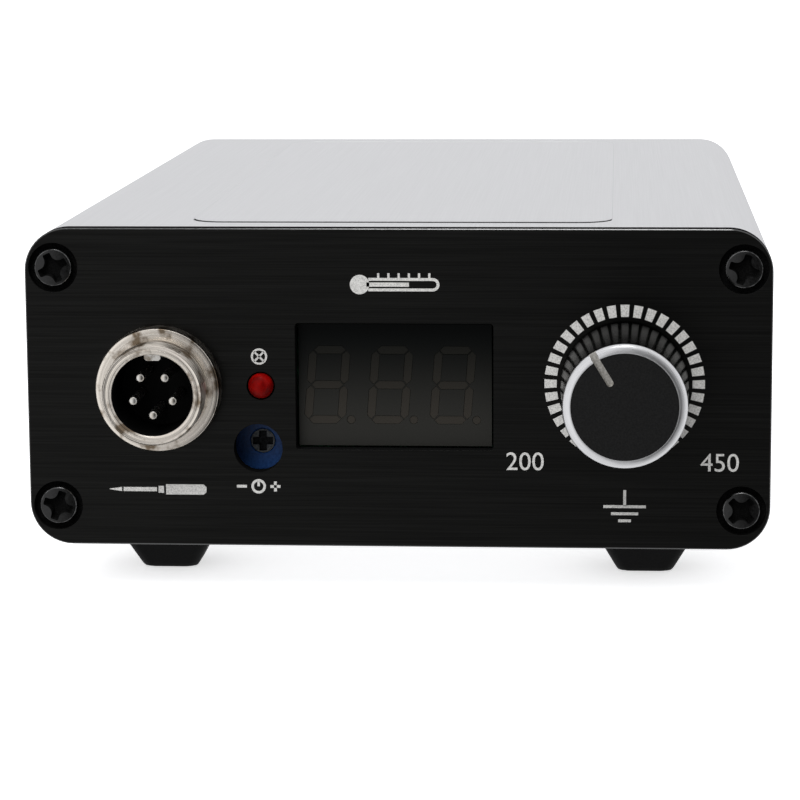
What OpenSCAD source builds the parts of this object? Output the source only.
// Soldering iron station in a split extruded aluminium case.
// X runs to the right, Y from front to back and Z up. The origin lies on the surface that the
// feet stand on, under the middle of the whole object. Most modules are drawn in the case frame:
// X = 0 in the middle, Y = 0 on the front panel's face, Z = 0 at the panels' lower edge.

/* [Case] */
// Width of the case and of both panels
case_w = 88; // [86:1:110]
// Height of the case and of both panels, without the feet
case_h = 38; // [37:1:50]
// Length of the two extruded halves, without the panels
body_l = 130; // [128:1:170]
// Radius of the case's long outer corners
corner_r = 5.1; // [4:0.1:6.5]
// Thickness of the extruded wall
wall = 1.4; // [1.2:0.1:1.8]
// Thickness of the front and rear panels
panel_t = 2; // [1.6:0.1:2.6]
// Bright bevel round each panel's outer edge
panel_bevel = 0.14; // [0.1:0.02:0.5]
// Thickness of the rail where the two halves meet, measured from the outside
rail_t = 3; // [2.8:0.1:4]
// Height of that rail on each half
rail_h = 3.6; // [3:0.1:5]
// Thickness of the tongue on one side of each half
tongue_t = 1; // [0.8:0.1:1.2]
// Height of the tongue
tongue_h = 1.6; // [1.2:0.1:2.2]
// Clearance round what slides together
slide_gap = 0.12; // [0.05:0.01:0.2]

/* [Case screws] */
// Distance of each corner screw from the case's side
screw_inset_x = 3.4; // [3.3:0.1:4.5]
// Distance of each corner screw from the case's top or bottom
screw_inset_z = 4.7; // [4.2:0.1:6]
// Diameter of the screw thread
screw_d = 2.5; // [2.2:0.1:3]
// Diameter of the domed screw head
head_d = 4.5; // [4:0.1:5]
// Height of the screw head
head_h = 1.5; // [1.2:0.1:1.8]
// Length of the screw under its head
screw_l = 8; // [6:1:12]
// Diameter of the counterbore that takes the head
recess_d = 5.86; // [5.4:0.02:6.2]
// Depth of the counterbore
recess_depth = 1.1; // [0.8:0.1:1.3]
// Clearance between a thread or press seat and its hole
seat_gap = 0.025; // [0.01:0.005:0.05]
// Wall round each screw channel in the extrusion
channel_wall = 1.3; // [1.1:0.1:1.6]

/* [Feet] */
// Height of each rubber foot
foot_h = 6; // [4:0.5:10]
// Width of a foot where it is glued on
foot_top = 12.7; // [10:0.1:16]
// Width of a foot where it stands
foot_bottom = 7.2; // [5:0.1:9.8]
// Distance of the feet from the middle of the case
foot_x = 29.5; // [20:0.5:34]
// Distance of the feet's middles from the case's ends
foot_inset = 18; // [10:0.5:30]

/* [Iron socket] */
// Distance of the socket from the middle of the panel
socket_x = -28.1; // [-29:0.1:-28]
// Height of the socket's axis above the panel's middle
socket_up = 0.1; // [-1:0.1:1]
// Diameter of the threaded barrel
socket_d = 12; // [11.6:0.1:12.4]
// Diameter of the front flange
flange_d = 14.8; // [14:0.1:15.6]
// Thickness of the front flange
flange_t = 2.5; // [1.5:0.1:3]
// Length of the threaded barrel in front of the flange
barrel_l = 4; // [3:0.1:6]
// Length of the shell behind the panel's face
shank_l = 9; // [8:0.5:9]
// Diameter of the shell's bore
socket_bore = 9.6; // [9.2:0.1:10]
// Number of contact pins
socket_pins_n = 5; // [4:1:6]
// Diameter of the circle that the pins stand on
pin_circle = 4.9; // [4.6:0.1:5.4]
// Diameter of a contact pin
pin_d = 1.05; // [0.9:0.05:1.3]
// Distance from the barrel's mouth to the pin tips
pin_sink = 0.5; // [0.3:0.1:2]
// Distance from the barrel's mouth to the insulator
insulator_sink = 8; // [6:0.5:9]
// Width over the flats of the socket's nut
socket_nut_af = 14; // [13.6:0.1:14.4]
// Thickness of the socket's nut
socket_nut_t = 2.4; // [2:0.1:3]

/* [Lamp and trimmer] */
// Distance of the lamp from the middle of the panel
lamp_x = -16.1; // [-17:0.05:-15.5]
// Height of the lamp's axis above the panel's middle
lamp_up = 0.3; // [0:0.1:3]
// Diameter of the lamp
lamp_d = 3; // [2.8:0.1:3.2]
// How far the lamp's dome stands out of the panel
lamp_proud = 1.3; // [0.8:0.1:1.6]
// Distance of the trimmer from the middle of the panel
trimmer_x = -16.5; // [-16.8:0.05:-16]
// Distance of the trimmer's axis below the panel's middle
trimmer_down = 7.2; // [6.8:0.1:8.5]
// Diameter of the hole that a screwdriver reaches through
trimmer_hole_d = 5.8; // [5.8:0.1:6.2]
// Width of the trimmer's body
trimmer_w = 6.6; // [6.2:0.1:7]
// Diameter of the trimmer's rotor
rotor_d = 2.9; // [2.5:0.1:3.2]
// Distance from the panel's face to the trimmer's body
trimmer_sink = 5; // [4.9:0.1:6]
// Radial clearance of every turning fit
turn_gap = 0.05; // [0.03:0.01:0.08]

/* [Display] */
// Distance of the display from the middle of the panel
display_x = -0.27; // [-0.6:0.01:0.5]
// Height of the display's middle above the panel's middle
display_up = 0.24; // [-0.6:0.01:0.8]
// Width of the display's housing
display_w = 22.9; // [22.2:0.1:23.4]
// Height of the display's housing
display_h = 14.6; // [13.8:0.1:15]
// Clearance between the display and its window, sideways
window_gap_x = 0.25; // [0.2:0.01:0.5]
// Clearance between the display and its window, up and down
window_gap_z = 0.25; // [0.2:0.01:0.8]
// How far the display stands into its window
display_in = 0.5; // [0.2:0.1:1]
// Width of one digit
digit_w = 4.9; // [4.4:0.1:5.2]
// Height of one digit
digit_h = 9.3; // [8.6:0.1:10]
// Width of a lit bar of a digit
bar_w = 0.95; // [0.8:0.05:1.1]
// Distance from digit to digit
digit_pitch = 7.45; // [7.2:0.05:7.5]
// Lean of the digits in degrees
digit_lean = 4.5; // [0:0.5:6]
// Distance of the digits from the middle of the display, which leaves room for the dots
digit_shift = -0.6; // [-1:0.1:0]

/* [Knob and potentiometer] */
// Distance of the knob from the middle of the panel
knob_x = 26.8; // [26:0.1:28]
// Height of the knob's axis above the panel's middle
knob_up = 0.75; // [-0.5:0.05:1]
// Diameter of the knob at its base
knob_d = 15; // [14.6:0.1:18]
// Diameter of the knob at the start of its bright rim
knob_front_d = 14.15; // [13.6:0.05:14.6]
// Width of the knob's bright chamfered rim
knob_rim = 0.98; // [0.6:0.02:1.2]
// How far the knob stands out of the panel
knob_proud = 16.5; // [15:0.5:20]
// Gap between the knob and the panel
knob_gap = 0.8; // [0.4:0.1:1.5]
// Width of the pointer groove
groove_w = 0.8; // [0.6:0.1:1.2]
// Distance from the knob's axis to the groove's inner end
groove_start = 3.2; // [2:0.1:4]
// Turn of the pointer from upright, in degrees clockwise
pointer_turn = -31.5; // [-140:0.5:140]
// Diameter of the potentiometer's shaft
shaft_d = 6; // [5.8:0.1:6.2]
// Depth of the flat on the shaft
shaft_flat = 1.5; // [1:0.1:1.8]
// Diameter of the potentiometer's threaded bush
bush_d = 7; // [6.9:0.1:7.4]
// Length of the bush in front of its plate
bush_l = 7; // [6:0.5:7.5]
// Width of the potentiometer's body
pot_w = 9.7; // [9.4:0.1:11]
// Height of the potentiometer's body
pot_h = 11.4; // [11:0.1:12.4]

/* [Boards] */
// Thickness of both circuit boards
pcb_t = 1.6; // [1.2:0.1:1.8]
// Distance from the panel's back to the control board
board_gap = 7.3; // [7.2:0.1:8]
// How far the board slots reach in from the side walls
slot_depth = 2.2; // [1.8:0.1:2.6]
// Thickness of the ribs that hold the board
rib_t = 1.2; // [1:0.1:1.4]
// Thickness of the insulating sheet under the power board
sheet_t = 0.4; // [0.3:0.1:0.8]

/* [Power supply] */
// Width of the transformer's core
core_w = 30; // [28:1:31]
// Depth of the transformer's core
core_d = 11; // [10:0.5:12]
// Height of the transformer's core
core_h = 20; // [18:0.5:22]
// Outer diameter of the transformer's winding
winding_d = 19.4; // [18:0.2:20]
// Diameter of the bulk capacitor
bulk_d = 18; // [16:0.5:18]
// Length of the bulk capacitor
bulk_l = 30; // [25:1:32]
// Diameter of the output capacitors
output_d = 10; // [8:0.5:10]
// Height of the output capacitors
output_h = 20; // [16:1:22]
// Mean radius of the ring chokes
choke_r = 6.4; // [6:0.1:6.6]
// Radius of the ring chokes' section
choke_section = 2.2; // [2:0.1:2.4]
// Height of the heat sinks
sink_h = 20; // [19:0.5:22]

/* [Mains inlet and switch] */
// Gap between the inlet's flange and the switch's bezel
rear_gap = 6.4; // [3:0.2:9]
// Width of the inlet's body
inlet_w = 27.2; // [27:0.1:28]
// Height of the inlet's body
inlet_h = 19.8; // [19.6:0.1:20.4]
// Height of the inlet's flange
inlet_flange_h = 22.4; // [21.5:0.1:23]
// Thickness of the inlet's flange
inlet_flange_t = 2.6; // [2:0.1:3.2]
// Distance between the inlet's two screws
inlet_pitch = 40; // [38:0.5:41]
// Depth of the socket for the mains plug
inlet_depth = 15.6; // [15:0.1:17]
// Width of the switch's bezel
bezel_w = 15; // [14.6:0.1:15.6]
// Height of the switch's bezel
bezel_h = 21; // [20.6:0.1:22]
// Thickness of the switch's bezel
bezel_t = 2; // [1.6:0.1:2.4]
// Tilt of the button to either side of its middle, in degrees
rocker_tilt = 12; // [8:0.5:14]

/* [Hidden] */
$fn = 64;

// Small overlap that lets solids of one node join
join = 0.01;
// Length that a cutting tool runs past what it cuts
past = 1;

// ---- Derived sizes of the case
panel_back = panel_t;
body_end = panel_t + body_l;
case_l = body_l + 2 * panel_t;
seam_z = case_h / 2;
socket_z = seam_z + socket_up;
lamp_z = seam_z + lamp_up;
trimmer_z = seam_z - trimmer_down;
display_z = seam_z + display_up;
knob_z = seam_z + knob_up;
screw_x = case_w / 2 - screw_inset_x;
screw_r = screw_d / 2;
channel_r = screw_r + channel_wall;
inner_w = case_w - 2 * wall;
// Floor of the slots that hold the power board, just above the screw channels
slot_floor = screw_inset_z + channel_r + 0.3;
board_bottom = slot_floor + slide_gap;
board_top = board_bottom + pcb_t;
slot_top = board_top + slide_gap;
rib_reach = wall + slot_depth;

// ---- Derived sizes of the socket
socket_r = socket_d / 2;
mouth_y = -(flange_t + barrel_l);
insulator_y = mouth_y + insulator_sink;
insulator_back = shank_l - 0.5;
pin_tip_y = mouth_y + pin_sink;
cup_l = 4.5;
cup_r = 0.9;
cup_end = insulator_back + cup_l;
washer_t = 0.6;
tag_t = 0.8;
tag_w = 3.2;
tag_turn = 135;
tag_reach = socket_nut_af / 2 + 3.8;
socket_nut_y = panel_back + washer_t + tag_t;
function pin_angle(i) = 90 + 180 / socket_pins_n + 360 / socket_pins_n * i;
function pin_at(i) = [
    socket_x + pin_circle / 2 * cos(pin_angle(i)),
    socket_z + pin_circle / 2 * sin(pin_angle(i))
];

// ---- Derived sizes of the front group
control_y = panel_back + board_gap;
control_back = control_y + pcb_t;
control_x0 = socket_x + socket_nut_af / 2 + 0.7;
control_x1 = knob_x + 9.2;
control_z0 = 4.5;
control_z1 = case_h - 4.5;
lead_stub = 1.4;
pin_end = control_back + lead_stub;
display_y = panel_back - display_in;
window_w = display_w + 2 * window_gap_x;
window_h = display_h + 2 * window_gap_z;
bar_depth = 0.6;
bar_gap = 0.03;
pin_r = 0.3;
pin_gap = 0.15;

// ---- Derived sizes of the knob and the potentiometer
shaft_r = shaft_d / 2;
bush_r = bush_d / 2;
plate_t = 1.2;
shaft_end = 13.4;
wiper_r = 4.1;
wiper_t = 1.4;
wiper_gap = 0.12;
pot_drop = 0.8;
pot_washer_r = 5.7;
pot_washer_t = 0.5;
pot_nut_af = 9.4;
pot_nut_t = 2;
knob_skirt_r = 6.1;
knob_skirt_l = 5;
knob_rim_l = 0.8;
grub_d = 2.5;
grub_at = 9.5;
groove_depth = 0.6;

// ---- Derived sizes of the power supply, which stands on the power board
transformer_at = [2, 60];
core_limb = 3.2;
core_middle_r = 4;
bobbin_base = [26, 20, 3.2];
bobbin_wall = 0.95;
cheek_t = 0.8;
core_z = board_top + bobbin_base[2];
spool_z = core_z + core_limb + 0.1;
spool_h = core_h - 2 * core_limb - 0.2;
bulk_at = [-24, 62];
output_at = [[-6, 36], [7, 36]];
choke_at = [[-25, 91], [-24, 34]];
bulk_leg = 2;
suppression_at = [4, 84];
suppression = [18, 8, 13];
fuse_at = [6, 97];
sink_at = [[29, 76], [29, 42]];
transistor_plate = [1.3, 10, 15.5];
transistor_block = [1.8, 10, 9];
transistor_lift = 4;
transistor_leg_x = transistor_plate[0] * 2;
transistor_pitch = 2.54;
wire_r = 0.55;
choke_turns = 7;
choke_turn_step = 20;
transformer_pin_rows = 10.5;
transformer_pitch = 5;
leg_r = 0.4;

// ---- Derived sizes of the rear group
inlet_z = seam_z;
rocker_z = seam_z;
ear_r = 4.6;
inlet_reach = inlet_pitch / 2 + ear_r;
// The inlet and the switch stand side by side, centred as a pair
rear_pair_w = 2 * inlet_reach + rear_gap + bezel_w;
inlet_x = -rear_pair_w / 2 + inlet_reach;
rocker_x = rear_pair_w / 2 - bezel_w / 2;
rear_face = case_l;
inlet_wall_back = 2;
inlet_back = -(inlet_depth - inlet_flange_t + inlet_wall_back);
tab_l = 8;
blade = [2, 4];
inlet_screw_r = 1.5;
inlet_screw_l = panel_t + 3.2;
inlet_head_r = 3;
inlet_head_t = 1.5;
inlet_nut = [5.5, 2.4];
live_blade_x = 7;
blade_z = 2;
rocker_base = 3;
rocker_tab_z = 5;
rocker_pivot = -1.5;
rocker_button_w = 10.8;
rocker_side_gap = 0.2;
rocker_wall = 0.9;
opening_h = bezel_h - 2.8;
rocker_r = opening_h / 2 - 0.2;
rocker_cavity = -9.6;
rocker_back = -15;
trunnion_r = 1.2;
trunnion_l = 0.6;

// How far the object reaches in front of and behind the case
rocker_lift = bezel_t + 0.2 - rocker_pivot;
rocker_tip_z = sqrt(pow(rocker_r, 2) - pow(rocker_lift, 2));
rear_reach = rocker_pivot + rocker_tip_z * sin(2 * rocker_tilt) + rocker_lift * cos(2 * rocker_tilt);
front_y = -(case_l + rear_reach - knob_proud) / 2;

// ---- Frames
// The case frame, standing on its feet
module stand() {
    translate([0, front_y, foot_h]) children();
}

// A frame whose Z points out of the front panel and whose Y points up
module facing_front(x, z, y = 0) {
    translate([x, y, z]) rotate([90, 0, 0]) children();
}

// A frame whose Z points out of the rear panel and whose Y points up
module facing_rear(x, z, y = rear_face) {
    translate([x, y, z]) rotate([90, 0, 180]) children();
}

// ---- Shared shapes
module rounded_square(w, h, r) {
    square([w - 2 * r, h], center = true);
    square([w, h - 2 * r], center = true);
    for (x = [-1, 1], z = [-1, 1])
        translate([x * (w / 2 - r), z * (h / 2 - r)]) circle(r = r);
}

// A plate with round corners and a bevel round its outer face
module bevelled_plate(w, h, t, r, b) {
    linear_extrude(t - b) rounded_square(w, h, r);
    for (turn = [0, 1])
        rotate([0, 0, 90 * turn])
            bevelled_bar(turn == 0 ? w - 2 * r : h - 2 * r, turn == 0 ? h : w, t, b);
    for (x = [-1, 1], z = [-1, 1])
        translate([x * (w / 2 - r), z * (h / 2 - r), t - b]) cylinder(r1 = r, r2 = r - b, h = b);
}

// One bar of that plate: length l along X, width w, bevelled on both long sides
module bevelled_bar(l, w, t, b) {
    rotate([90, 0, 90]) translate([0, 0, -l / 2]) linear_extrude(l)
        polygon([[-w / 2, t - b], [w / 2, t - b], [w / 2 - b, t], [-w / 2 + b, t]]);
}

// The four places of the corner screws, in a panel's own frame
module at_screws() {
    for (x = [-1, 1], z = [0, 1])
        translate([x * screw_x, z == 0 ? screw_inset_z : case_h - screw_inset_z, 0]) children();
}

// A screw with a domed head and a cross recess; its head's seat is at Z = 0
module domed_screw(d, l, hd, hh, turn) {
    dome_r = (pow(hd / 2, 2) + pow(hh * 0.62, 2)) / (2 * hh * 0.62);
    translate([0, 0, -l]) cylinder(d = d, h = l + join);
    difference() {
        intersection() {
            cylinder(d = hd, h = hh);
            translate([0, 0, hh - dome_r]) sphere(r = dome_r, $fn = 96);
        }
        for (a = [0, 90])
            rotate([0, 0, a + turn]) translate([-hd * 0.29, -hd * 0.075, hh * 0.35])
                cube([hd * 0.58, hd * 0.15, hh]);
    }
}

module hex_nut(af, t, bore) {
    difference() {
        cylinder(d = af / cos(30), h = t, $fn = 6);
        translate([0, 0, -past]) cylinder(r = bore, h = t + 2 * past);
    }
}

module ring(inner, outer, t) {
    difference() {
        cylinder(r = outer, h = t);
        translate([0, 0, -past]) cylinder(r = inner, h = t + 2 * past);
    }
}

// ---- Case: one extrusion, used twice
// The lower half's section: X across, Y up from the panels' lower edge
module half_section() {
    difference() {
        union() {
            intersection() {
                difference() {
                    translate([0, case_h / 2]) rounded_square(case_w, case_h, corner_r);
                    translate([0, case_h / 2])
                        rounded_square(inner_w, case_h - 2 * wall, corner_r - wall);
                }
                translate([-case_w / 2, 0]) square([case_w, seam_z]);
            }
            for (side = [0, 1])
                mirror([side, 0]) half_section_side();
            translate([-case_w / 2 + (rail_t - tongue_t) / 2, seam_z - join])
                square([tongue_t, tongue_h + join]);
        }
        translate([case_w / 2 - (rail_t + tongue_t) / 2 - slide_gap, seam_z - tongue_h - slide_gap])
            square([tongue_t + 2 * slide_gap, tongue_h + slide_gap + past]);
        for (side = [-1, 1])
            translate([side * screw_x, screw_inset_z]) {
                circle(r = screw_r + seat_gap);
                translate([side > 0 ? -channel_r - past : 0, -screw_r * 0.4])
                    square([channel_r + past, screw_r * 0.8]);
            }
    }
}

// What the right-hand side of a half carries: seam rail, screw channel and the two board ribs
module half_section_side() {
    translate([case_w / 2 - rail_t, seam_z - rail_h]) square([rail_t, rail_h]);
    translate([screw_x, screw_inset_z]) circle(r = channel_r);
    intersection() {
        translate([0, case_h / 2]) rounded_square(case_w, case_h, corner_r);
        translate([screw_x - screw_r, 0]) square([case_w / 2, screw_inset_z + screw_r]);
    }
    for (z = [slot_floor - rib_t, slot_top])
        translate([case_w / 2 - rib_reach, z]) square([slot_depth + join, rib_t]);
}

module half_shell() {
    translate([0, body_end, 0]) rotate([90, 0, 0]) linear_extrude(body_l) half_section();
}

module bottom_shell() {
    color("silver") stand() half_shell();
}

module top_shell() {
    color("gainsboro") stand() translate([0, 0, case_h]) rotate([0, 180, 0])
        half_shell();
}

module case_panel() {
    difference() {
        translate([0, case_h / 2, 0])
            bevelled_plate(case_w, case_h, panel_t, corner_r, panel_bevel);
        at_screws() {
            translate([0, 0, -past]) cylinder(r = screw_r + 0.15, h = panel_t + 2 * past);
            translate([0, 0, panel_t - recess_depth])
                cylinder(d = recess_d, h = recess_depth + past);
        }
    }
}

module front_panel() {
    color("#1c1c1e") stand() facing_front(0, 0, panel_back) difference() {
        case_panel();
        translate([0, 0, -past]) linear_extrude(panel_t + 2 * past) front_openings();
    }
}

// Holes of the front panel, in its own plane
module front_openings() {
    translate([socket_x, socket_z]) circle(r = socket_r + 0.1);
    translate([lamp_x, lamp_z]) circle(d = lamp_d + 0.3);
    translate([trimmer_x, trimmer_z]) circle(d = trimmer_hole_d);
    translate([display_x, display_z]) rounded_square(window_w, window_h, 0.4);
    translate([knob_x, knob_z]) circle(r = bush_r + 0.1);
}

module rear_panel() {
    color("#1c1c1e") stand() facing_rear(0, 0, body_end) difference() {
        case_panel();
        translate([-inlet_x, inlet_z, -past]) linear_extrude(panel_t + 2 * past) {
            rounded_square(inlet_w + 0.2, inlet_h + 0.2, 2);
            for (side = [-1, 1])
                translate([side * inlet_pitch / 2, 0]) circle(r = inlet_screw_r + 0.15);
        }
        translate([-rocker_x, rocker_z, -past]) linear_extrude(panel_t + 2 * past)
            square([rocker_body_w() + 0.2, opening_h + 2 * rocker_wall + 0.2], center = true);
    }
}

// The cross recesses stand as the screws happened to be driven
module front_panel_screws() {
    color("#262626") stand() facing_front(0, 0, panel_back) case_screws([20, 22, 45, 17]);
}

module rear_panel_screws() {
    color("#262626") stand() facing_rear(0, 0, body_end) case_screws([10, 70, 35, 55]);
}

module case_screws(turns) {
    for (i = [0:3])
        translate([
            (i < 2 ? -1 : 1) * screw_x,
            i % 2 == 0 ? screw_inset_z : case_h - screw_inset_z,
            panel_t - recess_depth
        ])
            domed_screw(screw_d, screw_l, head_d, head_h, turns[i]);
}

module feet() {
    color("#202020") stand()
        for (x = [-1, 1], y = [foot_inset, case_l - foot_inset])
            translate([x * foot_x, y, 0]) mirror([0, 0, 1])
                linear_extrude(foot_h, scale = foot_bottom / foot_top)
                    rounded_square(foot_top, foot_top, 1.6, $fn = 32);
}

// ---- Iron socket
module socket_shell() {
    color("#c9c2b4") stand() facing_front(socket_x, socket_z, 0) {
        difference() {
            union() {
                translate([0, 0, -shank_l])
                    cylinder(r = socket_r, h = shank_l + flange_t + barrel_l - 0.3);
                translate([0, 0, flange_t + barrel_l - 0.3])
                    cylinder(r1 = socket_r, r2 = socket_r - 0.3, h = 0.3);
                cylinder(d = flange_d, h = flange_t - 0.4);
                translate([0, 0, flange_t - 0.4])
                    cylinder(d1 = flange_d, d2 = flange_d - 0.8, h = 0.4);
            }
            translate([0, 0, -shank_l - past])
                cylinder(d = socket_bore, h = shank_l + flange_t + barrel_l + 2 * past);
        }
        // Key that lets the plug in one way only
        intersection() {
            translate([-1, socket_bore / 2 - 0.9, -insulator_y + 0.1])
                cube([2, 1.2, insulator_sink - 0.1]);
            translate([0, 0, -insulator_y]) cylinder(r = socket_r - 0.3, h = insulator_sink);
        }
    }
}

module socket_insulator() {
    color("#161616") stand() difference() {
        facing_front(socket_x, socket_z, insulator_back)
            cylinder(d = socket_bore - 2 * seat_gap, h = insulator_back - insulator_y);
        for (i = [0:socket_pins_n - 1])
            facing_front(pin_at(i)[0], pin_at(i)[1], insulator_back + past)
                cylinder(r = pin_d / 2 + seat_gap, h = insulator_back - insulator_y + 2 * past);
    }
}

// Turned pins with a round tip in front and a solder cup behind
module socket_pins() {
    color("#d8c070") stand()
        for (i = [0:socket_pins_n - 1])
            facing_front(pin_at(i)[0], pin_at(i)[1], 0) {
                translate([0, 0, -insulator_back])
                    cylinder(d = pin_d, h = insulator_back - pin_tip_y - pin_d / 2);
                translate([0, 0, -pin_tip_y - pin_d / 2]) sphere(d = pin_d);
                difference() {
                    translate([0, 0, -cup_end]) cylinder(r = cup_r, h = cup_l);
                    translate([0, 0, -cup_end - past]) cylinder(r = cup_r - 0.3, h = 2.2 + past);
                }
            }
}

// Lock washer with teeth round its rim
module socket_washer() {
    color("#b8b8b8") stand() facing_front(socket_x, socket_z, panel_back + washer_t) difference() {
        ring(socket_r + 0.1, socket_nut_af / 2, washer_t);
        for (a = [0:30:330])
            rotate([0, 0, a]) translate([socket_nut_af / 2 - 0.5, -0.35, -past])
                cube([2, 0.7, washer_t + 2 * past]);
    }
}

// Ring tag that joins the earth lead to the socket's shell
module earth_tag() {
    color("#c8c8c8") stand() facing_front(socket_x, socket_z, panel_back + washer_t + tag_t)
        difference() {
            union() {
                cylinder(r = socket_nut_af / 2, h = tag_t);
                rotate([0, 0, tag_turn]) translate([0, -tag_w / 2, 0])
                    cube([tag_reach, tag_w, tag_t]);
            }
            translate([0, 0, -past]) cylinder(r = socket_r + 0.1, h = tag_t + 2 * past);
        }
}

module socket_nut() {
    color("#c9c2b4") stand() facing_front(socket_x, socket_z, socket_nut_y + socket_nut_t)
        rotate([0, 0, 30]) hex_nut(socket_nut_af, socket_nut_t, socket_r + seat_gap);
}

// ---- Lamp
module lamp() {
    dome_y = -lamp_proud + lamp_d / 2;
    color("#b01818") stand() facing_front(lamp_x, lamp_z, 0) {
        translate([0, 0, -dome_y]) sphere(d = lamp_d);
        translate([0, 0, -lamp_back()]) cylinder(d = lamp_d, h = lamp_back() - dome_y);
        translate([0, 0, -lamp_back()]) cylinder(d = lamp_d + 0.8, h = 1);
    }
}

function lamp_back() = panel_back + 2.1;
lamp_leg_pitch = 2.54;

module lamp_legs() {
    color("silver") stand()
        for (side = [-1, 1])
            facing_front(lamp_x + side * lamp_leg_pitch / 2, lamp_z, pin_end)
                cylinder(r = pin_r, h = pin_end - lamp_back());
}

// ---- Trimmer
function trimmer_pin_at(i) = [trimmer_x + (i - 1) * 2.5, trimmer_z + (i == 1 ? 2.2 : -2.2)];

module trimmer_body() {
    depth = control_y - trimmer_sink;
    color("#1f4fa8") stand() facing_front(trimmer_x, trimmer_z, control_y) difference() {
        linear_extrude(depth) rounded_square(trimmer_w, trimmer_w + 0.4, 0.4);
        translate([0, 0, depth - 1.5]) cylinder(r = rotor_d / 2 + turn_gap, h = 1.5 + past);
    }
}

module trimmer_rotor() {
    rotor_t = 1.25;
    color("#7d746a") stand() facing_front(trimmer_x, trimmer_z, trimmer_sink + 0.1 + rotor_t)
        difference() {
            cylinder(d = rotor_d, h = rotor_t);
            for (a = [0, 90])
                rotate([0, 0, a]) translate([-rotor_d * 0.42, -0.45, rotor_t - 0.7])
                    cube([rotor_d * 0.84, 0.9, 0.7 + past]);
        }
}

module trimmer_pins() {
    color("silver") stand()
        for (i = [0:2])
            facing_front(trimmer_pin_at(i)[0], trimmer_pin_at(i)[1], pin_end)
                cylinder(r = pin_r, h = pin_end - control_y);
}

// ---- Display
// Points of one bar that lies along X, with pointed ends
function bar(l, w) = [
    [-l / 2, 0], [-l / 2 + w / 2, w / 2], [l / 2 - w / 2, w / 2],
    [l / 2, 0], [l / 2 - w / 2, -w / 2], [-l / 2 + w / 2, -w / 2]
];
// The same points turned upright if asked, moved to their place and leaned
function place_bar(points, upright, at) = [
    for (p = points)
        let (q = upright ? [p[1], p[0]] : p, s = q + at)
            [s[0] + s[1] * tan(digit_lean), s[1]]
];
bar_across = digit_w - bar_w;
bar_up = (digit_h - bar_w) / 2;
// Middle of each of the seven bars, and whether it stands upright
BARS = [
    [[0, bar_up], false], [[0, 0], false], [[0, -bar_up], false],
    [[-bar_across / 2, bar_up / 2], true], [[bar_across / 2, bar_up / 2], true],
    [[-bar_across / 2, -bar_up / 2], true], [[bar_across / 2, -bar_up / 2], true]
];

// All bars and dots; grow makes the pockets a little larger than the bars
module digit_marks(grow) {
    for (d = [-1, 0, 1])
        translate([d * digit_pitch + digit_shift, 0]) {
            for (b = BARS)
                polygon(place_bar(
                    bar((b[1] ? bar_up : bar_across) - 0.2 + 2 * grow, bar_w + 2 * grow), b[1], b[0]
                ));
            translate([digit_w / 2 + 0.35, -digit_h / 2 + bar_w / 2])
                circle(r = bar_w / 2 + grow, $fn = 24);
        }
}

module display_housing() {
    depth = control_y - display_y;
    color("#141414") stand() facing_front(display_x, display_z, control_y) difference() {
        translate([-display_w / 2, -display_h / 2, 0]) cube([display_w, display_h, depth]);
        translate([0, 0, depth - bar_depth]) linear_extrude(bar_depth + past) digit_marks(bar_gap);
    }
}

module display_segments() {
    color("#4a4440") stand() facing_front(display_x, display_z, display_y + bar_depth)
        linear_extrude(bar_depth - 0.05) digit_marks(0);
}

display_pins_n = 6;
display_row = 10.16;
function display_pin_at(row, i) = [
    display_x + (i - (display_pins_n - 1) / 2) * 2.54,
    display_z + row * display_row / 2
];

module display_pins() {
    color("silver") stand()
        for (row = [-1, 1], i = [0:display_pins_n - 1])
            facing_front(display_pin_at(row, i)[0], display_pin_at(row, i)[1], pin_end)
                cylinder(r = pin_r, h = pin_end - control_y);
}

// ---- Potentiometer
function pot_pin_at(i) = [knob_x + (i - 1) * 2.5, knob_z - pot_h / 2 + 0.7];

module pot_outline() {
    translate([0, -pot_drop]) rounded_square(pot_w, pot_h, 0.5);
}

// Die-cast plate with the threaded bush that holds the whole potentiometer in the panel
module pot_bush() {
    color("#b9b4a8") stand() facing_front(knob_x, knob_z, panel_back) difference() {
        union() {
            translate([0, 0, -plate_t]) linear_extrude(plate_t) pot_outline();
            cylinder(r = bush_r, h = bush_l);
        }
        translate([0, 0, -plate_t - past])
            cylinder(r = shaft_r + turn_gap, h = plate_t + bush_l + 2 * past);
    }
}

module pot_body() {
    color("#2b4a36") stand() facing_front(knob_x, knob_z, control_y) difference() {
        linear_extrude(board_gap - plate_t) pot_outline();
        translate([0, 0, board_gap - plate_t - wiper_t - 2 * wiper_gap])
            cylinder(r = wiper_r + wiper_gap, h = wiper_t + 2 * wiper_gap + past);
    }
}

// Shaft with a flat for the grub screw and the wiper disc that keeps it in
module pot_shaft() {
    disc_y = panel_back + plate_t + wiper_gap;
    color("#c4c4c4") stand() facing_front(knob_x, knob_z, 0) {
        difference() {
            translate([0, 0, -disc_y - join]) cylinder(r = shaft_r, h = disc_y + shaft_end + join);
            rotate([0, 0, -pointer_turn])
                translate([-shaft_r, -shaft_r - past, knob_gap + knob_skirt_l])
                    cube([shaft_d, shaft_flat + past, shaft_end]);
        }
        translate([0, 0, -disc_y - wiper_t]) cylinder(r = wiper_r, h = wiper_t);
    }
}

module pot_terminals() {
    color("silver") stand() {
        for (i = [0:2])
            facing_front(pot_pin_at(i)[0], pot_pin_at(i)[1], pin_end)
                cylinder(r = pin_r, h = pin_end - control_y);
    }
}

module pot_washer() {
    color("silver") stand() facing_front(knob_x, knob_z, 0)
        ring(bush_r + 0.1, pot_washer_r, pot_washer_t);
}

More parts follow.
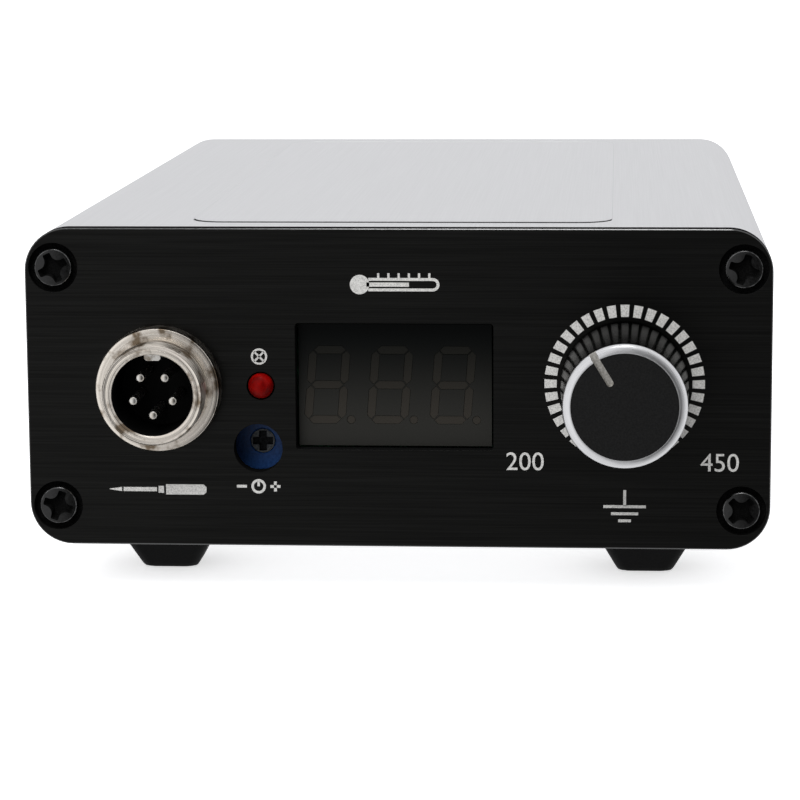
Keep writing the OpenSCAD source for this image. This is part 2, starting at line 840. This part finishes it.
module pot_nut() {
    color("silver") stand() facing_front(knob_x, knob_z, -pot_washer_t)
        hex_nut(pot_nut_af, pot_nut_t, bush_r + seat_gap);
}

// ---- Knob
module knob() {
    rim_at = knob_proud - knob_rim_l;
    face_r = knob_front_d / 2 - knob_rim;
    color("#1a1a1a") stand() facing_front(knob_x, knob_z, 0) rotate([0, 0, -pointer_turn])
        difference() {
            union() {
                translate([0, 0, knob_gap])
                    cylinder(d1 = knob_d, d2 = knob_front_d, h = rim_at - knob_gap);
                translate([0, 0, rim_at])
                    cylinder(r1 = knob_front_d / 2, r2 = face_r, h = knob_rim_l);
            }
            translate([0, 0, knob_gap - past]) cylinder(r = knob_skirt_r, h = knob_skirt_l + past);
            translate([0, 0, knob_gap])
                cylinder(r = shaft_r + seat_gap, h = shaft_end - knob_gap + 0.2);
            translate([0, 0, grub_at]) rotate([90, 0, 0])
                cylinder(r = grub_d / 2 + seat_gap, h = knob_d);
            translate([-groove_w / 2, groove_start, knob_proud - groove_depth])
                cube([groove_w, knob_d, groove_depth + past]);
            translate([0, groove_start, knob_proud - groove_depth])
                cylinder(d = groove_w, h = groove_depth + past, $fn = 32);
        }
}

// Grub screw that presses on the shaft's flat
module knob_grub_screw() {
    reach = shaft_r - shaft_flat;
    color("#3a3a3a") stand() facing_front(knob_x, knob_z, 0) rotate([0, 0, -pointer_turn])
        translate([0, -reach, grub_at]) rotate([90, 0, 0]) difference() {
            cylinder(d = grub_d, h = 5);
            translate([0, 0, 3.6]) cylinder(d = 1.3 / cos(30), h = 2, $fn = 6);
        }
}

// ---- Control board, behind the panel
// Places of every pin that passes through the control board, from the panel side
CONTROL_PINS = concat(
    [for (side = [-1, 1]) [lamp_x + side * lamp_leg_pitch / 2, lamp_z]],
    [for (i = [0:2]) trimmer_pin_at(i)],
    [for (row = [-1, 1], i = [0:display_pins_n - 1]) display_pin_at(row, i)],
    [for (i = [0:2]) pot_pin_at(i)]
);

module control_board() {
    color("#175c34") stand() facing_front(0, 0, control_back) difference() {
        translate([control_x0, control_z0, 0])
            cube([control_x1 - control_x0, control_z1 - control_z0, pcb_t]);
        for (p = CONTROL_PINS)
            translate([p[0], p[1], -past])
                cylinder(r = pin_r + pin_gap, h = pcb_t + 2 * past, $fn = 24);
    }
}

// Chip of width w, height h and thickness t, with legs on two sides or on all four
module chip(w, h, t, legs, four) {
    translate([-w / 2, -h / 2, chip_lift]) cube([w, h, t]);
    for (turn = four ? [0, 90, 180, 270] : [0, 180])
        rotate([0, 0, turn])
            for (i = [0:legs - 1])
                translate([(i - (legs - 1) / 2) * (w - 1) / legs - chip_leg[0] / 2, h / 2 - 0.2, 0])
                    cube(chip_leg);
}

chip_lift = 0.1;
chip_leg = [0.3, 1, 0.3];
// Controller, amplifier and switching transistor: place on the board, size, legs, legs all round
CHIPS = [
    [[display_x + 2, display_z], [7, 7, 1.4], 8, true],
    [[knob_x - 12.5, display_z + 4.8], [5, 4, 1.5], 4, false],
    [[display_x - 4, display_z - 10], [6.5, 6, 2.3], 2, false]
];

module control_chips() {
    color("#222222")
        for (c = CHIPS)
            stand() facing_rear(c[0][0], c[0][1], control_back)
                chip(c[1][0], c[1][1], c[1][2], c[2], c[3]);
}

// Header housings: [x, y, z] of the corner, [w, d, h], and the side that is open
header_wall = 0.7;
iron_pitch = 2;
iron_header_l = iron_pitch * socket_pins_n + 1.6;
iron_header_w = 5;
iron_header_x = (lamp_x + lamp_leg_pitch / 2 + display_pin_at(-1, 0)[0]) / 2;
iron_header_z = display_z;
header_depth = 6;
header_floor = 1.2;
supply_x = 16;
supply_pitch = 2.5;
supply_header = [2 * supply_pitch + 1.6, 5];
supply_z = 14;
supply_y = 24.5;
mains_header_x = 6;
mains_header_y = 104;
mains_pitch = 7;
mains_header = [mains_pitch + 6, 6.5];

module header(w, d, h) {
    difference() {
        translate([-w / 2, -d / 2, 0]) cube([w, d, h]);
        translate([-w / 2 + header_wall, -d / 2 + header_wall, header_floor])
            cube([w - 2 * header_wall, d - 2 * header_wall, h]);
    }
}

module board_headers() {
    color("#e8e4d6") stand() {
        facing_rear(iron_header_x, iron_header_z, control_back)
            header(iron_header_w, iron_header_l, header_depth);
        facing_rear(supply_x, supply_z, control_back)
            header(supply_header[0], supply_header[1], header_depth);
        translate([supply_x, supply_y, board_top])
            header(supply_header[0], supply_header[1], header_depth);
        translate([mains_header_x + mains_pitch / 2, mains_header_y, board_top])
            header(mains_header[0], mains_header[1], header_depth);
    }
}

// ---- Power board, held in the slots of the lower half and trapped between the panels
function row_of(at, rows, pitch, n) = [
    for (side = [-1, 1], i = [0:n - 1])
        [at[0] + side * rows, at[1] + (i - (n - 1) / 2) * pitch]
];
TRANSFORMER_PINS = row_of(transformer_at, transformer_pin_rows, transformer_pitch, 4);
OUTPUT_LEGS = [for (at = output_at, side = [-1, 1]) [at[0] + side * output_d / 4, at[1]]];
BULK_LEGS = [for (side = [-1, 1]) [bulk_at[0] + side * bulk_d / 4, bulk_at[1] - bulk_l / 2 - bulk_leg]];
SUPPRESSION_LEGS = [
    for (side = [-1, 1]) [suppression_at[0] + side * (suppression[0] / 2 - 1.5), suppression_at[1]]
];
TRANSISTOR_LEGS = [
    for (at = sink_at, i = [-1, 0, 1]) [at[0] - transistor_leg_x, at[1] + i * transistor_pitch]
];
BOARD_LEGS = concat(TRANSFORMER_PINS, OUTPUT_LEGS, BULK_LEGS, SUPPRESSION_LEGS, TRANSISTOR_LEGS);

// A straight leg from a component at height top down through the board
module leg(at, top) {
    translate([at[0], at[1], board_bottom - lead_stub])
        cylinder(r = leg_r, h = top - board_bottom + lead_stub, $fn = 24);
}

module power_board() {
    notch_w = 2 * (screw_x - channel_r - 1.2);
    front_notch = control_back + lead_stub + 3;
    rear_notch = rear_face + inlet_back - 1;
    side_x = case_w / 2 - wall - 0.3;
    color("#1d6b3c") stand() difference() {
        translate([-side_x, panel_back + 0.3, board_bottom])
            cube([2 * side_x, body_l - 0.6, pcb_t]);
        translate([-notch_w / 2, 0, 0]) cube([notch_w, front_notch, case_h]);
        translate([-notch_w / 2, rear_notch, 0]) cube([notch_w, body_l, case_h]);
        for (p = BOARD_LEGS)
            translate([p[0], p[1], board_bottom - past])
                cylinder(r = leg_r + pin_gap, h = pcb_t + 2 * past, $fn = 24);
    }
}

module insulating_sheet() {
    sheet_w = 2 * (screw_x - channel_r - 0.6);
    color("#e9e2c4") stand() translate([-sheet_w / 2, panel_back + 1, wall])
        cube([sheet_w, body_l - 2, sheet_t]);
}

module transformer_core() {
    color("#2e2e30") stand() translate([transformer_at[0], transformer_at[1], core_z])
        difference() {
            translate([-core_w / 2, -core_d / 2, 0]) cube([core_w, core_d, core_h]);
            translate([0, 0, core_limb])
                ring(core_middle_r, winding_d / 2 + 0.3, core_h - 2 * core_limb);
        }
}

// Bobbin: tube and two cheeks round the middle limb, and a base that carries the pins
module transformer_bobbin() {
    tube_r = core_middle_r + 0.05;
    color("#3a2c22") stand() {
        translate([transformer_at[0], transformer_at[1], spool_z]) {
            ring(tube_r, tube_r + bobbin_wall, spool_h);
            for (z = [0, spool_h - cheek_t])
                translate([0, 0, z]) ring(tube_r, winding_d / 2, cheek_t);
        }
        translate([transformer_at[0], transformer_at[1], board_top])
            translate([-bobbin_base[0] / 2, -bobbin_base[1] / 2, 0]) cube(bobbin_base);
        for (p = TRANSFORMER_PINS)
            leg(p, board_top + 1);
    }
}

module transformer_winding() {
    inner = core_middle_r + bobbin_wall + 0.1;
    color("#d8b23a") stand()
        translate([transformer_at[0], transformer_at[1], spool_z + cheek_t + 0.05])
            ring(inner, winding_d / 2 - 0.1, spool_h - 2 * cheek_t - 0.1);
}

// Can lying on the board, with a crimped groove and a bevelled end
module bulk_capacitor() {
    r = bulk_d / 2;
    color("#20304a") stand() {
        translate([bulk_at[0], bulk_at[1] + bulk_l / 2, board_top + r]) rotate([90, 0, 0])
            rotate_extrude() polygon([
                [0, 0], [r - 0.8, 0], [r, 0.8], [r, bulk_l - 4], [r - 0.7, bulk_l - 3.4],
                [r - 0.7, bulk_l - 2.8], [r, bulk_l - 2.2], [r, bulk_l - 0.6],
                [r - 0.6, bulk_l], [r - 1.4, bulk_l], [r - 1.4, bulk_l - 0.5], [0, bulk_l - 0.5]
            ]);
        for (p = BULK_LEGS) {
            leg(p, board_top + r + leg_r);
            translate([p[0], p[1], board_top + r]) rotate([-90, 0, 0])
                cylinder(r = leg_r, h = bulk_leg + 0.6, $fn = 24);
        }
    }
}

module output_capacitors() {
    r = output_d / 2;
    color("#1b2f52") stand() {
        for (at = output_at)
            translate([at[0], at[1], board_top]) rotate_extrude() polygon([
                [0, 0.4], [r - 1, 0.4], [r - 1, 0], [r - 0.4, 0], [r, 0.4], [r, 1.6],
                [r - 0.5, 2], [r - 0.5, 2.4], [r, 2.8], [r, output_h - 0.5],
                [r - 0.5, output_h], [0, output_h]
            ]);
        for (p = OUTPUT_LEGS)
            leg(p, board_top + 1);
    }
}

// Rings that lie flat; the wire loops stand round their section
module choke_cores() {
    color("#2c4a3a") stand()
        for (at = choke_at)
            translate([at[0], at[1], choke_z()]) rotate_extrude() translate([choke_r, 0])
                circle(r = choke_section, $fn = 32);
}

function choke_z() = board_top + choke_section + 2 * wire_r + 0.1;

module choke_windings() {
    color("#b5622a") stand()
        for (at = choke_at, side = [-1, 1], i = [0:choke_turns - 1])
            translate([at[0], at[1], choke_z()])
                rotate([0, 0, 90 + side * (90 + (i - (choke_turns - 1) / 2) * choke_turn_step)])
                    translate([choke_r, 0, 0]) rotate([90, 0, 0]) rotate_extrude($fn = 32)
                        translate([choke_section + 0.04 + wire_r, 0]) circle(r = wire_r, $fn = 16);
}

module suppression_capacitor() {
    color("#d9a520") stand() {
        translate([suppression_at[0], suppression_at[1], board_top])
            translate([-suppression[0] / 2, -suppression[1] / 2, 0]) cube(suppression);
        for (p = SUPPRESSION_LEGS)
            leg(p, board_top + 1);
    }
}

fuse_l = 20;
fuse_r = 2.6;
fuse_z = board_top + 4.6;
fuse_cap_l = 5;
clip_l = 4;
clip_wall = 0.7;
clip_mouth = 3.6;

// Glass tube between two metal caps
module fuse() {
    color("#dfe6e8") stand() translate([fuse_at[0] - fuse_l / 2, fuse_at[1], fuse_z])
        rotate([0, 90, 0]) {
            cylinder(r = fuse_r - 0.2, h = fuse_l);
            for (z = [0, fuse_l - fuse_cap_l])
                translate([0, 0, z]) cylinder(r = fuse_r, h = fuse_cap_l);
        }
}

module fuse_clips() {
    half_w = fuse_r + clip_wall;
    color("#c9c9c9") stand()
        for (side = [-1, 1])
            translate([fuse_at[0] + side * (fuse_l - fuse_cap_l) / 2 - clip_l / 2, fuse_at[1], 0])
                difference() {
                    translate([0, -half_w, board_top])
                        cube([clip_l, 2 * half_w, fuse_z - board_top + 2]);
                    translate([-past, 0, fuse_z]) rotate([0, 90, 0])
                        cylinder(r = fuse_r + seat_gap, h = clip_l + 2 * past);
                    translate([-past, -clip_mouth / 2, fuse_z])
                        cube([clip_l + 2 * past, clip_mouth, fuse_r * 2]);
                }
}

sink_l = 26;
sink_base = 2;
sink_fin = [6, 1.2];
sink_fins = 5;
sink_hole_r = 1.5;

// Finned extrusions that stand on the board
module heat_sinks() {
    color("#a8a8ac") stand()
        for (at = sink_at)
            translate([at[0], at[1], board_top]) difference() {
                linear_extrude(sink_h) {
                    translate([0, -sink_l / 2]) square([sink_base, sink_l]);
                    for (i = [0:sink_fins - 1])
                        translate([
                            sink_base - join,
                            -sink_l / 2 + i * (sink_l - sink_fin[1]) / (sink_fins - 1)
                        ])
                            square(sink_fin);
                }
                translate([-past, 0, transistor_hole()]) rotate([0, 90, 0])
                    cylinder(r = sink_hole_r, h = sink_base + 2 * past);
            }
}

function transistor_hole() = 17;

// Three-legged devices screwed flat to the heat sinks
module power_transistors() {
    color("#2a2a2a") stand() {
        for (at = sink_at)
            translate([at[0] - transistor_plate[0], at[1], board_top + transistor_lift]) {
                difference() {
                    translate([0, -transistor_plate[1] / 2, 0]) cube(transistor_plate);
                    translate([-past, 0, transistor_hole() - transistor_lift])
                        rotate([0, 90, 0])
                            cylinder(r = sink_hole_r + 0.2, h = transistor_plate[0] + 2 * past);
                }
                translate([-transistor_block[0], -transistor_block[1] / 2, 0])
                    cube(transistor_block + [join, 0, 0]);
            }
        for (p = TRANSISTOR_LEGS)
            leg(p, board_top + transistor_lift + 0.5);
    }
}

// ---- Mains inlet
// Outline of the flange: a body with two tapered ears
module inlet_flange_outline() {
    half_w = inlet_w / 2 + 1.6;
    polygon([
        [-inlet_pitch / 2, ear_r], [-half_w, inlet_flange_h / 2], [half_w, inlet_flange_h / 2],
        [inlet_pitch / 2, ear_r], [inlet_pitch / 2, -ear_r], [half_w, -inlet_flange_h / 2],
        [-half_w, -inlet_flange_h / 2], [-inlet_pitch / 2, -ear_r]
    ]);
    for (side = [-1, 1])
        translate([side * inlet_pitch / 2, 0]) circle(r = ear_r);
}

// Opening for the plug, with its two upper corners cut off
module inlet_mouth() {
    w = inlet_w - 2.6;
    h = inlet_h - 2.9;
    cut = 4.2;
    polygon([
        [-w / 2, -h / 2], [w / 2, -h / 2], [w / 2, h / 2 - cut],
        [w / 2 - cut, h / 2], [-w / 2 + cut, h / 2], [-w / 2, h / 2 - cut]
    ]);
}

// Middle of each blade: the two live ones below, the earth blade above
BLADES = [[-live_blade_x, -blade_z], [0, blade_z], [live_blade_x, -blade_z]];
tab = [0.8, 4.8];

module inlet_body() {
    color("#151515") stand() facing_rear(inlet_x, inlet_z) difference() {
        union() {
            linear_extrude(inlet_flange_t) inlet_flange_outline();
            translate([0, 0, inlet_back]) linear_extrude(join - inlet_back)
                rounded_square(inlet_w, inlet_h, 1.9);
        }
        translate([0, 0, inlet_back + inlet_wall_back]) linear_extrude(inlet_depth + past)
            inlet_mouth();
        for (b = BLADES)
            translate([b[0], b[1], inlet_back - past]) linear_extrude(inlet_wall_back + 2 * past)
                square([blade[0] + 2 * seat_gap, blade[1] + 2 * seat_gap], center = true);
        for (side = [-1, 1])
            translate([side * inlet_pitch / 2, 0, -past]) {
                cylinder(r = inlet_screw_r + 0.15, h = inlet_flange_t + 2 * past);
                translate([0, 0, past + inlet_flange_t - inlet_head_t])
                    cylinder(r1 = inlet_screw_r + 0.15, r2 = inlet_head_r + 0.2, h = inlet_head_t + join);
            }
    }
}

module inlet_blades() {
    tip = inlet_flange_t - 3.8;
    color("#cfcabc") stand() facing_rear(inlet_x, inlet_z)
        for (b = BLADES)
            translate([b[0], b[1], 0]) {
                translate([-blade[0] / 2, -blade[1] / 2, inlet_back])
                    cube([blade[0], blade[1], tip - inlet_back]);
                translate([-tab[0] / 2, -blade[1] / 2, inlet_back - tab_l])
                    cube([tab[0], blade[1], tab_l + join]);
            }
}

// Countersunk screws through the flange and the panel
module inlet_screws() {
    color("#2b2b2b") stand() facing_rear(inlet_x, inlet_z)
        for (side = [-1, 1])
            translate([side * inlet_pitch / 2, 0, 0]) difference() {
                union() {
                    translate([0, 0, inlet_flange_t - inlet_head_t])
                        cylinder(r1 = inlet_screw_r, r2 = inlet_head_r, h = inlet_head_t);
                    translate([0, 0, -inlet_screw_l])
                        cylinder(r = inlet_screw_r, h = inlet_screw_l + inlet_flange_t - inlet_head_t + join);
                }
                for (a = [0, 90])
                    rotate([0, 0, a + 30 + side * 12])
                        translate([-inlet_head_r / 2, -0.35, inlet_flange_t - 0.9])
                            cube([inlet_head_r, 0.7, past]);
            }
}

module inlet_nuts() {
    color("#bdbdbd") stand() facing_rear(inlet_x, inlet_z, body_end - inlet_nut[1])
        for (side = [-1, 1])
            translate([side * inlet_pitch / 2, 0, 0])
                hex_nut(inlet_nut[0], inlet_nut[1], inlet_screw_r + seat_gap);
}

// ---- Rocker switch
function rocker_body_w() = rocker_button_w + 2 * rocker_side_gap + 2 * rocker_wall;

module rocker_frame() {
    color("#171717") stand() facing_rear(rocker_x, rocker_z) difference() {
        union() {
            linear_extrude(bezel_t) rounded_square(bezel_w, bezel_h, 1);
            translate([0, 0, rocker_back]) linear_extrude(join - rocker_back)
                square([rocker_body_w(), opening_h + 2 * rocker_wall], center = true);
        }
        translate([0, 0, rocker_cavity]) linear_extrude(bezel_t - rocker_cavity + past)
            square([rocker_button_w + 2 * rocker_side_gap, opening_h], center = true);
        translate([-rocker_body_w(), 0, rocker_pivot]) rotate([0, 90, 0])
            cylinder(r = trunnion_r + turn_gap, h = 2 * rocker_body_w());
        for (side = [-1, 1])
            translate([0, side * rocker_tab_z, rocker_back - past]) linear_extrude(3 + past)
                square([tab[1] + 2 * seat_gap, tab[0] + 2 * seat_gap], center = true);
    }
}

// Two wings that rise to the ends, on a round-ended base, drawn in the middle position across
// the pivot, with Y out of the panel and X up
module rocker_section() {
    rise = rocker_r * tan(rocker_tilt);
    valley = rocker_lift / cos(rocker_tilt);
    intersection() {
        circle(r = rocker_r);
        polygon([
            [-rocker_r, -rocker_base], [rocker_r, -rocker_base], [rocker_r, valley + rise],
            [0, valley], [-rocker_r, valley + rise]
        ]);
    }
}

module rocker_button() {
    color("#101010") stand() facing_rear(rocker_x, rocker_z) translate([0, 0, rocker_pivot])
        rotate([rocker_tilt, 0, 0]) {
            rotate([90, 0, 90]) translate([0, 0, -rocker_button_w / 2])
                linear_extrude(rocker_button_w) rocker_section();
            translate([-rocker_button_w / 2 - trunnion_l, 0, 0]) rotate([0, 90, 0])
                cylinder(r = trunnion_r, h = rocker_button_w + 2 * trunnion_l);
        }
}

module rocker_terminals() {
    color("#cfcabc") stand() facing_rear(rocker_x, rocker_z)
        for (side = [-1, 1])
            translate([-tab[1] / 2, side * rocker_tab_z - tab[0] / 2, rocker_back - tab_l])
                cube([tab[1], tab[0], tab_l + 3]);
}

// ---- Leads inside the case
// A smooth curve through the points: Catmull-Rom, with steps pieces between two points
function at_end(points, i) = points[max(0, min(len(points) - 1, i))];
function blend4(a, b, c, d, t) =
    0.5 * ((2 * b) + (c - a) * t + (2 * a - 5 * b + 4 * c - d) * t * t
        + (3 * b - a - 3 * c + d) * t * t * t);
function smooth(points, steps) = concat(
    [for (i = [0:len(points) - 2], s = [0:steps - 1])
        blend4(at_end(points, i - 1), points[i], points[i + 1], at_end(points, i + 2), s / steps)],
    [points[len(points) - 1]]
);
function unit(v) = v / norm(v);
function direction(path, i) = unit(at_end(path, i + 1) - at_end(path, i - 1));

// Paths that leave a tab of the rear group straight forwards
function from_tab(tab_end, way) =
    concat([tab_end], smooth(concat([tab_end - [0, tab_stub, 0]], way), 4));
function between_tabs(tab_end, way, other) =
    concat(from_tab(tab_end, concat(way, [other - [0, tab_stub, 0]])), [other]);

// A round lead along the path; side is a direction that the path never runs along
module lead(path, r, side, sides = 8) {
    n = len(path);
    points = [
        for (i = [0:n - 1])
            let (d = direction(path, i), u = unit(cross(d, side)), v = cross(d, u))
                for (k = [0:sides - 1])
                    path[i] + r * (u * cos(k * 360 / sides) + v * sin(k * 360 / sides))
    ];
    walls = [
        for (i = [0:n - 2], k = [0:sides - 1])
            let (a = i * sides + k, b = i * sides + (k + 1) % sides)
                for (f = [[a, b, b + sides], [a, b + sides, a + sides]]) f
    ];
    first = [for (k = [sides - 1:-1:0]) k];
    last = [for (k = [0:sides - 1]) (n - 1) * sides + k];
    polyhedron(points = points, faces = concat(walls, [first], [last]), convexity = 4);
}

iron_lead_r = 0.5;
mains_lead_r = 0.9;
lead_off = 0.05;
tab_stub = 2.5;
// Direction from the socket to its header, seen along Y
iron_way = unit([iron_header_x - socket_x, 0, iron_header_z - socket_z]);
iron_across = [-iron_way[2], 0, iron_way[0]];

// How far a pin lies across that direction, and how many pins lie lower than it
function pin_across(i) = [pin_at(i)[0], 0, pin_at(i)[1]] * iron_across;
function pin_rank(i) = len([
    for (j = [0:socket_pins_n - 1])
        if (pin_across(j) < pin_across(i) || (pin_across(j) == pin_across(i) && j < i)) j
]);

// Each lead rises from its cup in an arc, the further pins in the higher arcs
module iron_leads() {
    color("#8a2a22") stand()
        for (i = [0:socket_pins_n - 1]) {
            pin = pin_at(i);
            z = iron_header_z + iron_pitch * (pin_rank(i) - (socket_pins_n - 1) / 2);
            along = [pin[0] - socket_x, 0, pin[1] - socket_z] * iron_way;
            top_y = cup_end + 7 - 0.9 * along;
            lead(
                smooth([
                    [pin[0], cup_end + lead_off, pin[1]],
                    [pin[0], cup_end + 2.5, pin[1]],
                    [pin[0] * 0.6 + iron_header_x * 0.4, top_y, pin[1] * 0.6 + z * 0.4],
                    [iron_header_x, top_y - 1, z],
                    [iron_header_x, control_back + header_depth - 2, z]
                ], 4),
                iron_lead_r, iron_across
            );
        }
}

module supply_leads() {
    color("#8a2a22") stand()
        for (side = [-1, 1]) {
            x = supply_x + side * supply_pitch / 2;
            lead(
                smooth([
                    [x, supply_y, board_top + header_depth - 3],
                    [x, supply_y, board_top + header_depth + 4],
                    [x, supply_y - 2.5, board_top + header_depth + 6],
                    [x, control_back + header_depth + 2, supply_z + 2],
                    [x, control_back + header_depth - 3, supply_z]
                ], 4),
                mains_lead_r, [1, 0, 0]
            );
        }
}

module mains_leads() {
    tab_y = rear_face + inlet_back - tab_l - lead_off;
    switch_y = rear_face + rocker_back - tab_l - lead_off;
    header_top = board_top + header_depth;
    live = [inlet_x + live_blade_x, inlet_z - blade_z];
    neutral = [inlet_x - live_blade_x, inlet_z - blade_z];
    color("#6b4a2c") stand() {
        // Live blade to the switch
        lead(
            between_tabs([live[0], tab_y, live[1]], [
                [(live[0] + rocker_x) / 2, tab_y - 6, live[1] + 8]
            ], [rocker_x, switch_y, rocker_z + rocker_tab_z]),
            mains_lead_r, [0, 0, 1]
        );
        // Switch to the board
        lead(
            from_tab([rocker_x, switch_y, rocker_z - rocker_tab_z], [
                [mains_header_x + mains_pitch + 3, mains_header_y, header_top + 3],
                [mains_header_x + mains_pitch, mains_header_y, header_top - 3]
            ]),
            mains_lead_r, [0.3, 0.95, 0]
        );
        // Neutral blade to the board
        lead(
            from_tab([neutral[0], tab_y, neutral[1]], [
                [neutral[0] * 0.4 + mains_header_x * 0.6, tab_y - 8, header_top],
                [mains_header_x - 1, mains_header_y, header_top + 2],
                [mains_header_x, mains_header_y, header_top - 3]
            ]),
            mains_lead_r, [0.3, 0.95, 0.1]
        );
    }
}

module earth_lead() {
    tab_y = rear_face + inlet_back - tab_l - lead_off;
    tail = [socket_x + (tag_reach - 1) * cos(tag_turn), socket_z + (tag_reach - 1) * sin(tag_turn)];
    color("#5a8a2a") stand() lead(
        from_tab([inlet_x, tab_y, inlet_z + blade_z], [
            [(inlet_x + tail[0]) / 2, tab_y - 9, tail[1]],
            [tail[0], tab_y - 20, tail[1]],
            [tail[0], (tab_y + socket_nut_y) / 2, tail[1]],
            [tail[0], socket_nut_y + 8, tail[1]],
            [tail[0], socket_nut_y + lead_off, tail[1]]
        ]),
        mains_lead_r, [0, 0, 1]
    );
}

top_shell();
bottom_shell();
front_panel();
rear_panel();
front_panel_screws();
rear_panel_screws();
feet();
socket_shell();
socket_insulator();
socket_pins();
socket_washer();
socket_nut();
earth_tag();
lamp();
lamp_legs();
trimmer_body();
trimmer_rotor();
trimmer_pins();
display_housing();
display_segments();
display_pins();
pot_bush();
pot_body();
pot_shaft();
pot_terminals();
pot_washer();
pot_nut();
knob();
knob_grub_screw();
control_board();
control_chips();
board_headers();
power_board();
insulating_sheet();
transformer_core();
transformer_bobbin();
transformer_winding();
bulk_capacitor();
output_capacitors();
choke_cores();
choke_windings();
suppression_capacitor();
fuse();
fuse_clips();
heat_sinks();
power_transistors();
inlet_body();
inlet_blades();
inlet_screws();
inlet_nuts();
rocker_frame();
rocker_button();
rocker_terminals();
iron_leads();
supply_leads();
mains_leads();
earth_lead();
